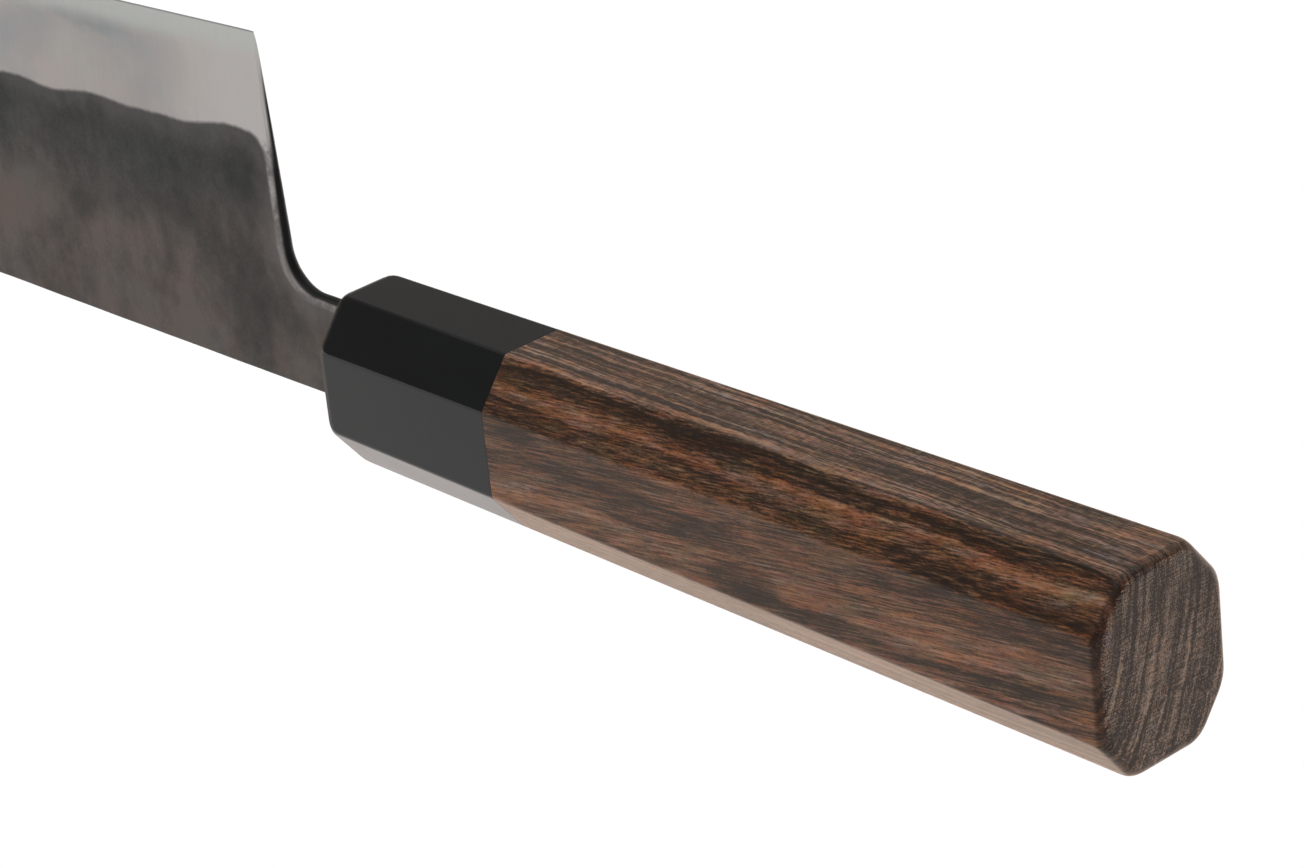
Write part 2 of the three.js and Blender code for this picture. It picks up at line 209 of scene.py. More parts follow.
# Strengths in the wood, on the sides and on the butt
TONE_LEVELS = (0.51, 0.45)
# painted reflection of the floor on the lower facets, on the sides and on the butt
PAINTED_REFLECTION_LEVELS = (0.14, 0.0)
BAND_LEVELS = (1.0, 0.4)
LINE_LEVELS = (1.0, 0.7)
FIBRE_LEVELS = (1.1, 1.5)
RAY_LEVELS = (0.45, 1.0)
CLOUD_LEVEL = 0.35  # on both

# Horn
HORN_STREAK = (22, 0.9, 0.9)
HORN_CLOUD = (14, 8, 8)
STREAK_SHARE = 0.6  # in its tone, beside the clouds
HORN_FIBRE = (9, 0.25, 0.25)
HORN_RELIEF = 0.003
MATTE_START = (0.02, 0.2)  # from the mouth, as shares of its rounding
MATTE_END = (1.0, 0.5)

# Stain on the bevel, under the honed strip
STAIN_PLACE = (6.0, 0.0, 49.1)
STAIN_SIZE = (9.0, 9.0, 1.9)
STAIN_SWAY = ((4, 4, 2), 0.5)
STAIN_SHARE = 0.5

# Marks on the steel: sizes, and the reach of a sway or the drift of each colour
TINT_SIZE = (22, 22, 11)
GRIND_SIZE = (0.35, 0.35, 9)
GRIND_SHARE = 0.1
STREAK_SIZE = (7, 7, 30)
MOTTLE_SIZE = (14, 14, 14)
PATCH_SIZE = (2.2, 2.2, 3)
SPECK_SIZE = (0.35, 0.35, 0.35)
SCALE_WEIGHTS = (0.22, 0.48, 0.22, 0.05)  # of these four in the scale's tone
SCALE_LEVEL = 0.562
RUBBED_SIZE = (1.6, 1.6, 2.2)
RUBBED_PATCHES = (0.38, 0.6, 0.35, 1.0)
BARE_SWAYS = [((1.1, 1.1, 1.1), 0.15), ((5, 5, 5), 0.2)]
FRAYED_SWAY = ((2.4, 2.4, 3), 2.5)
HONED_SWAY = ((9, 9, 9), 0.8)
COOL_SWAY = ((24, 24, 24), 0.7)
STEEL_DRIFT = ((12, 12, 7), (0.2, -0.12, -0.1))
SCALE_DRIFT = ((5, 5, 7), (0.3, -0.1, -0.2))
IRON_RELIEF = 0.006
GRIND_RELIEF = 0.3  # share of it that the grinding lines take
CORE_RELIEF = 0.004

# Finish of the steel: where a change begins and is complete, and its strengths there unless 0 and 1
BARE_EDGE = (-0.3, 0.45)  # inside the bare metal: scale turns to metal
FRAYED_REACH = (-4.5, 0.5, 0.0, 0.34)  # and scale lightens
BARE_FADE = (0, -16, 1.0, 0.5)  # above the bevel's line: the rubbed strip grows fainter downwards
RUBBED_NEAR = (-3, 0)  # and less patchy upwards
SCALE_DARKENS = (-16, -1, 0.0, 0.14)
SCALE_WEARS = (-11, -21)
SCALE_COOLS = (-20, -5)  # from brown to grey
BLACK_END = (0.0, -1.5)  # inside the core's strip: the black flats begin, with painted shade where they cover ground steel
HONED_EDGE = (-0.4, 0)  # on the core
HONED_BLEND = (-1.6, 1.4, 0.0, 0.85)  # on the bevel
EDGE_LINE = (-0.3, -0.15, 0.0, 0.7)  # above the cutting edge: the line along it
HEEL_PALE = (26, 6, 0.0, 0.7)  # in front of the heel: the bevel grows paler
HEEL_WORN = (2, 22)  # the scale grows worn
WORN_GAIN = 0.07
NECK_PALE = 4.0  # the scale starts to lighten towards the neck
NECK_GAIN = 0.07

# Roughness: two levels of a noise, and the value at each
WOOD_ROUGH = (0.3, 0.75, 0.38, 0.3)
HORN_ROUGH = (0.3, 0.7, 0.15, 0.2)
STEEL_ROUGH = (0.2, 0.8, 0.36, 0.44)
SCALE_ROUGH = (0.3, 0.7, 0.62, 0.5)
DOWEL_ROUGH = (0.3, 0.7, 0.75, 0.6)
RESIN_ROUGH = (0.3, 0.7, 0.25, 0.45)
MATTE_ROUGH = 0.55  # added on the rounding of the horn's mouth
BLACK_ROUGH = 0.2  # added on the black parts of the core

# Dowel and resin
DOWEL_FIBRE = (9, 0.4, 0.4)
DOWEL_RELIEF = 0.03
RESIN_CLOUD = (1.5, 1.5, 1.5)
RESIN_RELIEF = 0.05

NOISE_MEAN = 0.5

# Colours, as six hexadecimal digits, and ramps of them
WARM_WOOD = [
    (0.2, "20120a"), (0.37, "301f14"), (0.47, "442d1e"), (0.55, "583a27"),
    (0.63, "694631"), (0.76, "7b5641"), (0.95, "966f58"),
]
GREY_WOOD = [
    (0.2, "1d130d"), (0.37, "2f231d"), (0.47, "46382f"), (0.55, "5a4a40"),
    (0.63, "6b584c"), (0.76, "7f685a"), (0.95, "98806b"),
]
WOOD_PORE = "1a100a"
# painted shade on the butt's rounded edge
BUTT_EDGE_SHADE = "1d1009"
WOOD_SHEEN = "ffd7b8"
HORN_TONES = [(0.3, "030506"), (0.6, "06090b"), (0.8, "0d0e0e")]
HORN_SHEEN = "ffbe8f"
BROWN_SCALE = [(0.25, "1b1919"), (0.4, "2d2927"), (0.52, "413a36"), (0.68, "5f5550")]
GREY_SCALE = [(0.25, "181819"), (0.4, "282827"), (0.52, "393835"), (0.68, "52514b")]
# black of the scale on the flats, also used as painted shade over ground steel across the choil
BLACK_SCALE_AND_SHADE = "0c0b0b"
FRAYED_SCALE = "6c6866"
IRON_TONES = [(0.3, "909192"), (0.45, "999592"), (0.6, "a19b97"), (0.75, "a19996")]
CORE_TONES = [(0.3, "8f918e"), (0.5, "9d9c99"), (0.7, "a4a3a0")]
STAIN_COLOUR = "7b7f82"
GRIND_COLOUR = "7e7a77"
HEEL_COLOUR = "b5afac"
HONED_COLOUR = "adaea9"
EDGE_COLOUR = "6f7073"
DOWEL_TONES = [(0.3, "8b6a42"), (0.5, "a98859"), (0.7, "c2a373")]
RESIN_TONES = [(0.3, "17110c"), (0.5, "2b1f16"), (0.7, "3a2a1d")]

# Studio, in metres
FLOOR_DROP = 0.2
FLOOR_RADIUS = 5.0
FLOOR_SIDES = 96
FLOOR_COLOUR = (0.9, 0.9, 0.9, 1.0)
FLOOR_GLOW = (0.8, 4.0, 0.12, 0.6)  # its own light grows between two radii, from one level to another
RIM_RADIUS = 6.0
RIM_HEIGHT = 0.7
RIM_STEPS = 8
WORLD_LEVEL = 0.3
SUN_LEVEL = 2.2
SUN_ANGLE = math.radians(90)

# Camera, fitted to the handle's edges in the photo
IMAGE_WIDTH = 1304
FOCAL_PIXELS = 5000
SENSOR_WIDTH = 36.0
CAMERA_PLACE = Vector((0.53358, -0.35485, 0.27759))
CAMERA_AZIMUTH = math.radians(49.813)
CAMERA_ELEVATION = math.radians(25.338)
CAMERA_ROLL = math.radians(-6.26)


def span(node):
    low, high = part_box(node)
    return low / MM, high / MM


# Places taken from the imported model
ferrule_low, ferrule_high = span("ferrule")
body_high = span("handle_body")[1]
dowel_low, dowel_high = span("inner_dowel")
resin_low, resin_high = span("tang_resin")
core_low, core_high = span("core_steel")

X_TIP = core_low.x
X_MOUTH = ferrule_low.x
X_JOINT = ferrule_high.x
X_BUTT = body_high.x
X_HEEL = X_MOUTH - NECK_LENGTH
X_FACE_END = X_HEEL - CHOIL_EASE
X_SHOULDER = X_MOUTH + SHOULDER_DEPTH
X_TAIL = core_high.x
X_DOWEL = dowel_low.x
X_DOWEL_END = dowel_high.x
DOWEL_RADIUS = dowel_high.y
HANDLE_AXIS = (dowel_low.z + dowel_high.z) / 2
SLOT_HALF = resin_high.y
SPINE_RISE = resin_low.z + RESIN_WALL
NECK_TOP = SPINE_RISE + NECK_HEIGHT
CHOIL_TOP = NECK_TOP + CHOIL_RADIUS * (1 - math.sin(CHOIL_LEAN))
HEEL_EDGE = core_high.z


def mix(a, b, share):
    return a + (b - a) * share


def smooth_step(low, high, value):
    share = min(max((value - low) / (high - low), 0.0), 1.0)
    return share * share * (3 - 2 * share)


def smooth_most(a, b, round_off):
    """The larger of two values, without a step where one overtakes the other."""
    near = max(round_off - abs(a - b), 0.0)
    return max(a, b) + near * near / (4 * round_off)


def spread(start, end, count):
    return [mix(start, end, i / count) for i in range(count + 1)]


# Meshes


class Skin:
    """Grids and faces of points in millimetres, welded into one closed mesh."""

    def __init__(self):
        self.mesh = bmesh.new()

    def points(self, places):
        return [self.mesh.verts.new(p * MM) for p in places]

    def face(self, places):
        self.mesh.faces.new(self.points(places))

    def grid(self, rows):
        rows = [self.points(row) for row in rows]
        for below, above in zip(rows, rows[1:]):
            for i in range(len(below) - 1):
                self.mesh.faces.new((below[i], below[i + 1], above[i + 1], above[i]))

    def rings(self, rings, cyclic=False):
        closed = [ring + ring[:1] for ring in rings]
        self.grid(closed + closed[:1] if cyclic else closed)

    def weld(self):
        bmesh.ops.remove_doubles(self.mesh, verts=self.mesh.verts[:], dist=WELD * MM)
        bmesh.ops.dissolve_degenerate(self.mesh, edges=self.mesh.edges[:], dist=WELD * MM)
        bmesh.ops.holes_fill(self.mesh, edges=self.mesh.edges[:], sides=0)
        bmesh.ops.recalc_face_normals(self.mesh, faces=self.mesh.faces[:])

    def tag(self, name, measure):
        self.mesh.normal_update()
        layer = self.mesh.verts.layers.float.new(name)
        for vert in self.mesh.verts:
            vert[layer] = measure(vert.co / MM, vert.normal)

    def piece(self, name, material):
        data = bpy.data.meshes.new(name)
        self.mesh.to_mesh(data)
        self.mesh.free()
        data.shade_smooth()
        data.set_sharp_from_angle(angle=SHARP_ANGLE)
        data.materials.append(material)
        piece = bpy.data.objects.new(name, data)
        bpy.context.scene.collection.objects.link(piece)
        weighted = piece.modifiers.new("weighted_normals", "WEIGHTED_NORMAL")
        weighted.keep_sharp = True
        return piece


# Handle: an octagon that tapers to the mouth, with eased long edges


def handle_size(x):
    """Half width and height of the handle at one place along it."""
    full = X_BUTT - BUTT_ROUND
    share = (x - X_JOINT) / (full - X_JOINT)
    return mix(ferrule_high.y, body_high.y, share), mix(ferrule_high.z, body_high.z, share)


def handle_corners(x, inset):
    """Corners of the octagon with each of its sides moved inwards."""
    half_width, height = handle_size(x)
    half = half_width - inset
    top = height - inset
    slant = math.hypot(1 / FACET_WIDTH, 1 / FACET_HEIGHT)
    shrink = 1 - inset * (1 / FACET_WIDTH + 1 / FACET_HEIGHT - slant)
    across = FACET_WIDTH * shrink
    up = FACET_HEIGHT * shrink
    right = [(half - across, inset), (half, inset + up), (half, top - up), (half - across, top)]
    left = [(-y, z) for y, z in reversed(right)]
    return [Vector((x, y, z)) for y, z in right + left]


def rounded_corner(before, corner, after, ease):
    to_before = (before - corner).normalized()
    to_after = (after - corner).normalized()
    half_angle = to_before.angle(to_after) / 2
    centre = corner + (to_before + to_after).normalized() * (ease / math.cos(half_angle))
    start = corner + to_before * ease - centre
    end = corner + to_after * ease - centre
    radius = start.length
    return [centre + start.slerp(end, i / CORNER_STEPS) * radius for i in range(CORNER_STEPS + 1)]


def handle_ring(x, inset=0.0, ease=LONG_EDGE_EASE):
    corners = handle_corners(x, inset)
    ring = []
    for i, corner in enumerate(corners):
        after = corners[(i + 1) % len(corners)]
        ring += rounded_corner(corners[i - 1], corner, after, ease)
    return ring


def round_ring(x, radius):
    """A circle with as many points as handle_ring."""
    count = HANDLE_SIDES * (CORNER_STEPS + 1)
    first = FIRST_CORNER - math.pi * CORNER_STEPS / count
    turns = [first + math.tau * i / count for i in range(count)]
    return [Vector((x, radius * math.cos(t), HANDLE_AXIS + radius * math.sin(t))) for t in turns]


def slot_ring(x):
    """The slot's outline, with as many points as handle_ring."""
    low = resin_low.z + SLOT_CORNER
    high = resin_high.z - SLOT_CORNER
    side = SLOT_HALF - SLOT_CORNER
    steps = 2 * (CORNER_STEPS + 1)
    ring = []
    for i, (y, z) in enumerate([(side, low), (side, high), (-side, high), (-side, low)]):
        for j in range(steps):
            turn = math.radians(90) * (i - 1 + j / (steps - 1))
            ring.append(Vector((x, y + SLOT_CORNER * math.cos(turn), z + SLOT_CORNER * math.sin(turn))))
    return ring


def rounded_end(end_x, radius, corner, inwards):
    """Rings from an end face to the full section. The long edges soften towards the face."""
    run = END_RUN * radius
    turns = spread(0, math.radians(90), ROUND_STEPS)
    places = [(radius * (1 - math.cos(turn)), radius * (1 - math.sin(turn))) for turn in turns]
    places += [(distance, 0.0) for distance in spread(radius, run, SOFT_STEPS)[1:]]
    rings = []
    for distance, inset in places:
        ease = mix(LONG_EDGE_EASE, corner, smooth_step(run, 0, distance))
        rings.append(handle_ring(end_x + inwards * distance, inset, ease))
    return rings


def broken_edge(x, inwards):
    return [handle_ring(x, SEAM_EASE), handle_ring(x + inwards * SEAM_EASE)]


def build_ferrule(material):
    skin = Skin()
    rings = [slot_ring(X_DOWEL), slot_ring(X_MOUTH)]
    rings += rounded_end(X_MOUTH, MOUTH_ROUND, MOUTH_CORNER, 1)
    rings += reversed(broken_edge(X_JOINT, -1))
    rings += [round_ring(X_JOINT, DOWEL_RADIUS), round_ring(X_DOWEL, DOWEL_RADIUS)]
    skin.rings(rings, cyclic=True)
    skin.weld()
    return skin.piece("horn_ferrule", material)


def build_body(material):
    skin = Skin()
    bore = [round_ring(X_DOWEL_END, DOWEL_RADIUS), round_ring(X_JOINT, DOWEL_RADIUS)]
    start = X_JOINT + SEAM_EASE
    end = X_BUTT - END_RUN * BUTT_ROUND
    along = [handle_ring(x) for x in spread(start, end, BODY_RINGS)[1:-1]]
    butt = rounded_end(X_BUTT, BUTT_ROUND, BUTT_CORNER, -1)
    centre = Vector((X_BUTT, 0, body_high.z / 2))
    face = []
    for i in range(1, BUTT_FACE_RINGS + 1):
        share = 1 - i / BUTT_FACE_RINGS
        face.append([centre + (p - centre) * share for p in butt[0]])
    skin.rings(bore + broken_edge(X_JOINT, 1) + along + butt[::-1] + face)
    skin.weld()
    return skin.piece("wood_handle", material)


# Blade outline


def spine_line(x):
    return SPINE_RISE + (x - X_MOUTH) * math.tan(SPINE_TILT)


def spine_z(x):
    bend = min(max((X_TIP + TIP_RUN - x) / TIP_RUN, 0.0), 1.0)
    return spine_line(x) + TIP_DROP * bend * bend


TIP = Vector((X_TIP, spine_z(X_TIP)))
HEEL = Vector((X_HEEL, HEEL_EDGE))
NEAR_TIP = TIP + TIP_STRETCH * Vector((math.cos(TIP_SWEEP), math.sin(TIP_SWEEP)))
NEAR_HEEL = HEEL - HEEL_STRETCH * Vector((math.cos(HEEL_FALL), math.sin(HEEL_FALL)))


def edge_point(t):
    s = 1 - t
    return s**3 * TIP + 3 * s * s * t * NEAR_TIP + 3 * s * t * t * NEAR_HEEL + t**3 * HEEL


def edge_z(x):
    """Height of the cutting edge, found by halving a stretch of its curve."""
    low, high = 0.0, 1.0
    while high - low > EDGE_TOLERANCE:
        middle = (low + high) / 2
        if edge_point(middle).x < x:
            low = middle
        else:
            high = middle
    return edge_point(low).y


def crest(height, from_heel, start, pitch):
    return height * math.cos(math.tau * (from_heel - start) / pitch)


def bevel_z(x, edge):
    from_heel = X_HEEL - x
    width = BEVEL_WIDTH - BEVEL_NARROWING * from_heel
    width -= HEEL_RISE * math.exp(-((from_heel / HEEL_RISE_RUN) ** 2))
    width -= crest(WAVE_HEIGHT, from_heel, WAVE_START, WAVE_PITCH)
    width -= crest(RIPPLE_HEIGHT, from_heel, RIPPLE_START, RIPPLE_PITCH)
    most = BEVEL_TIP_SHARE * (edge - spine_z(x))
    return edge + smooth_most(-width, -most, BEVEL_TIP_BEND)


class Station:
    """Heights and half thicknesses of the blade at one place along it."""

    def __init__(self, x):
        along = min(max((x - X_TIP) / (X_HEEL - X_TIP), 0.0), 1.0)
        self.x = x
        self.spine = spine_z(x)
        self.edge = edge_z(min(x, X_HEEL))
        self.bevel = bevel_z(x, self.edge)
        self.strip = self.edge - min(CORE_SHOW, CORE_TIP_SHARE * (self.edge - self.spine))
        self.at_spine = mix(SPINE_AT_TIP, SPINE_AT_HEEL, along) / 2
        self.at_bevel = mix(BEVEL_TOP_AT_TIP, BEVEL_TOP_AT_HEEL, along) / 2
        self.ease = min(SPINE_EASE, self.at_spine / 2, (self.bevel - self.spine) / 4)
        self.foot = self.spine + self.ease

    def half(self, z):
        if z <= self.bevel:
            return mix(self.at_spine, self.at_bevel, (z - self.spine) / (self.bevel - self.spine))
        return mix(self.at_bevel, CORE_HALF, (z - self.bevel) / (self.strip - self.bevel))


LAST = Station(X_FACE_END)
KNEE_SHARE = (CHOIL_TOP - LAST.spine) / (LAST.bevel - LAST.spine)


def choil_x(z):
    return X_HEEL + (HEEL_EDGE - z) * math.tan(CHOIL_LEAN)


FILLET_CENTRE = Vector((choil_x(CHOIL_TOP) + CHOIL_RADIUS * math.cos(CHOIL_LEAN), NECK_TOP + CHOIL_RADIUS))


def forged(x, z, bevel, side):
    """Change of half thickness by the hammer, which fades out at the bevel and at the mouth."""
    broad = noise.noise(Vector((x / HAMMER_LENGTH, z / HAMMER_HEIGHT, HAMMER_SEED * side)))
    small = noise.noise(Vector((x / PEEN_LENGTH, z / PEEN_HEIGHT, PEEN_SEED * side)))
    calm = smooth_step(0, BEVEL_CALM, bevel - z) * smooth_step(X_MOUTH, X_MOUTH - MOUTH_CALM, x)
    return calm * (HAMMER_DEPTH * broad + PEEN_DEPTH * small)


def blade_stations():
    fine_start = X_FACE_END - FINE_LENGTH
    coarse_count = round((fine_start - X_TIP) / COARSE_STEP)
    fine_count = round(FINE_LENGTH / FINE_STEP)
    xs = spread(X_TIP + TIP_BLUNT, fine_start, coarse_count)
    xs += spread(fine_start, X_FACE_END, fine_count)[1:]
    return [Station(x) for x in xs]


def face_heights(station):
    """Heights up the blade's face: to the choil's foot, to the bevel and to the core's strip."""
    knee = mix(station.spine, station.bevel, KNEE_SHARE)
    heights = spread(station.foot, knee, LOWER_ROWS)
    heights += spread(knee, station.bevel, UPPER_ROWS)[1:]
    return heights + spread(station.bevel, station.strip, BEVEL_ROWS)[1:]


def leaning_x(x, z):
    """Moves a station's point so that the last column of the face follows the choil."""
    share = smooth_step(X_FACE_END - LEAN_RUN, X_FACE_END, x)
    if z >= CHOIL_TOP:
        return x + share * (choil_x(z) - X_HEEL)
    return x + share * (choil_x(CHOIL_TOP) - X_HEEL) * (z - LAST.foot) / (CHOIL_TOP - LAST.foot)


def face_point(station, z, side):
    x = leaning_x(station.x, z)
    half = station.half(z) + forged(x, z, station.bevel, side)
    return Vector((x, side * max(half, CORE_HALF), z))


class NeckStation:
    """One place along the choil's fillet, the neck and the tang."""

    def __init__(self, foot_x, foot_z, top, out):
        self.foot = Vector((foot_x, 0, foot_z))
        self.top = Vector((top[0], 0, top[1]))
        self.out = Vector((out[0], 0, out[1]))
        share = min((foot_x - X_FACE_END) / (X_MOUTH - X_FACE_END), 1.0)
        self.half_foot = mix(LAST.half(LAST.spine), TANG_HALF, share)
        self.half_top = mix(LAST.half(CHOIL_TOP), TANG_HALF, share)

    def face(self, side):
        start = self.foot + Vector((0, 0, SPINE_EASE))
        end = self.top - self.out * CHOIL_EASE
        height = end.z - self.foot.z
        points = []
        for share in spread(0, 1, LOWER_ROWS):
            p = start.lerp(end, share)
            half = mix(self.half_foot, self.half_top, (p.z - self.foot.z) / height)
            p.y = side * (half + forged(p.x, p.z, LAST.bevel, side))
            points.append(p)
        return points


def neck_stations():
    stations = []
    for share in spread(0, 1, FILLET_STEPS):
        turn = mix(CHOIL_LEAN, math.radians(90), share)
        top = FILLET_CENTRE - CHOIL_RADIUS * Vector((math.cos(turn), math.sin(turn)))
        turn = math.radians(90) * share
        foot_x = mix(X_FACE_END, FILLET_CENTRE.x, share)
        stations.append(NeckStation(foot_x, spine_line(foot_x), top, (math.cos(turn), math.sin(turn))))
    for x in spread(FILLET_CENTRE.x, X_MOUTH, FILLET_STEPS)[1:] + [X_SHOULDER]:
        stations.append(NeckStation(x, spine_line(min(x, X_MOUTH)), (x, NECK_TOP), (0, 1)))
    for x, height in ((X_SHOULDER + SHOULDER_SLOPE, TANG_HEIGHT), (X_TAIL, TANG_TAIL_HEIGHT)):
        low = HANDLE_AXIS - height / 2
        stations.append(NeckStation(x, low, (x, low + height), (0, 1)))
    return stations


def eased(start, out, ease, side):
    """From a face round an eased corner, then across the flat beside it to the core."""
    points = [start.copy()]
    for share in spread(0, 1, EASE_STEPS):
        turn = math.radians(90) * share
        p = start + out * ease * math.sin(turn)
        p.y = start.y - side * ease * (1 - math.cos(turn))
        points.append(p)
    last = points[-1].copy()
    last.y = side * CORE_HALF
    return points + [last]


def choil_corner(point, side):
    ease = min(CHOIL_EASE, CHOIL_EASE_SHARE * (abs(point.y) - CORE_HALF))
    start = Vector((choil_x(point.z) - ease, point.y, point.z))
    return [point] + eased(start, Vector((1, 0, 0)), ease, side)[1:]


def rim_distance(p):
    """How far a point lies from the choil, its fillet or the top of the neck."""
    if p.z >= CHOIL_TOP:
        return choil_x(p.z) - p.x
    if p.x >= FILLET_CENTRE.x:
        return NECK_TOP - p.z
    return (Vector((p.x, p.z)) - FILLET_CENTRE).length - CHOIL_RADIUS


def edge_place(p):
    """Place along the cutting edge that a point belongs to."""
    return max(min(p.x, X_HEEL), X_TIP + TIP_BLUNT)


def bevel_reach(p, normal):
    """Millimetres that a point lies above the bevel's line, and below zero under it."""
    x = edge_place(p)
    return p.z - bevel_z(x, edge_z(x))


def bare_reach(p, normal):
    """Millimetres that a point lies inside bare metal: the bevel and the worn strip by the choil."""
    strip = CHOIL_EASE + RIM_WEAR - rim_distance(p)
    return smooth_most(bevel_reach(p, normal), strip, RIM_CORNER)


def honed_reach(p, normal):
    """Millimetres that a point lies inside the core's strip along the edge."""
    return p.z - Station(edge_place(p)).strip


def edge_reach(p, normal):
    """Millimetres that a point lies above the cutting edge, and below zero under it."""
    return p.z - edge_z(edge_place(p))


def choil_share(p, normal):
    """1 on the line of the choil, and 0 in front of it."""
    return 1.0 if p.x > choil_x(p.z) - WELD else 0.0


def black_share(p, normal):
    """Black tone across the choil, which the right-hand side loses more and more towards the heel. Over
    ground steel it is painted shade.
    """
    rise = min(max((p.z - CHOIL_TOP) / (HEEL_EDGE - CHOIL_TOP), 0.0), 1.0)
    start = mix(BLACK_FROM_FOOT, BLACK_FROM_HEEL, rise)
    return smooth_step(start - BLACK_FADE, start + BLACK_FADE, p.y)


def border_share(p, normal):
    """1 on the black flats across the spine, the choil and the neck's top, 0 on the faces beside them. On the
    choil's ground steel the black is painted shade.
    """
    on_core = abs(p.y) < CORE_HALF + WELD
    turned = 1.0 if on_core else smooth_step(FLAT_TURN, 0.0, abs(normal.y))
    near_rim = smooth_step(BORDER_SPREAD * CHOIL_EASE, CHOIL_EASE, rim_distance(p))
    near_spine = smooth_step(BORDER_SPREAD * SPINE_EASE, SPINE_EASE, p.z - spine_z(p.x))
    return turned * max(near_rim * black_share(p, normal), near_spine)


def build_cladding(name, side, material):
    skin = Skin()
    stations = blade_stations()
    neck = neck_stations()
    columns = [[face_point(s, z, side) for z in face_heights(s)] for s in stations]
    neck_columns = [s.face(side) for s in neck]
    down = Vector((0, 0, -1))
    spine = [eased(column[0], down, s.ease, side) for column, s in zip(columns, stations)]
    neck_spine = [eased(column[0], down, SPINE_EASE, side) for column in neck_columns]
    neck_top = [eased(column[-1], s.out, CHOIL_EASE, side) for column, s in zip(neck_columns, neck)]
    choil = [choil_corner(p, side) for p in columns[-1][LOWER_ROWS:]]
    choil[0] = neck_top[0]
    for rows in (columns, neck_columns, spine, neck_spine, neck_top, choil):
        skin.grid(rows)
    skin.face(spine[0][::-1] + columns[0][1:])
    skin.face(neck_spine[-1][::-1] + neck_columns[-1][1:] + neck_top[-1][1:])
    skin.weld()
    skin.tag("bare", bare_reach)
    skin.tag("bevel", bevel_reach)
    skin.tag("honed", honed_reach)
    skin.tag("border", border_share)
    return skin.piece(name, material)


def strip_ring(station, shift):
    """Over the edge, from the right-hand border of the core's strip to its left-hand one."""
    ring = []
    for rise in spread(-1, 1, 2 * STRIP_ROWS):
        up = 1 - abs(rise)
        z = mix(station.strip, station.edge, up)
        half = CORE_HALF * (1 - mix(STRIP_SLOPE, 1, up) * up)
        lean = choil_x(z) - X_HEEL if shift else 0.0
        ring.append(Vector((station.x + shift + lean, math.copysign(half, rise), z)))
    return ring


def build_core(material):
    skin = Skin()
    stations = blade_stations()
    neck = neck_stations()
    border = [Vector((s.x, 0, s.spine)) for s in stations]
    border += [s.foot for s in neck]
    border += [s.top for s in reversed(neck)]
    border += [Vector((choil_x(z), 0, z)) for z in face_heights(LAST)[LOWER_ROWS + 1:]]
    strip = [Vector((s.x, 0, s.strip)) for s in reversed(stations[:-1])]
    across = Vector((0, CORE_HALF, 0))
    skin.grid([[p - across for p in border], [p + across for p in border]])
    for side in (-1, 1):
        skin.face([p + side * across for p in border + strip])
    wedge = [strip_ring(s, 0.0) for s in stations[:-1]] + [strip_ring(LAST, X_HEEL - X_FACE_END)]
    skin.grid(wedge)
    skin.face(wedge[-1])
    tip = border[0]
    skin.face([tip + across, tip - across] + wedge[0])
    skin.weld()
    skin.tag("honed", honed_reach)
    skin.tag("edge", edge_reach)
    skin.tag("choil", choil_share)
    skin.tag("black", black_share)
    return skin.piece("ground_core", material)


# Materials


def colour(code):
    """A colour written as six hexadecimal digits of sRGB, as linear light."""
    parts = [int(code[i:i + 2], 16) / 255 for i in (0, 2, 4)]
    linear = [c / 12.92 if c <= 0.04045 else ((c + 0.055) / 1.055) ** 2.4 for c in parts]
    return (*linear, 1.0)


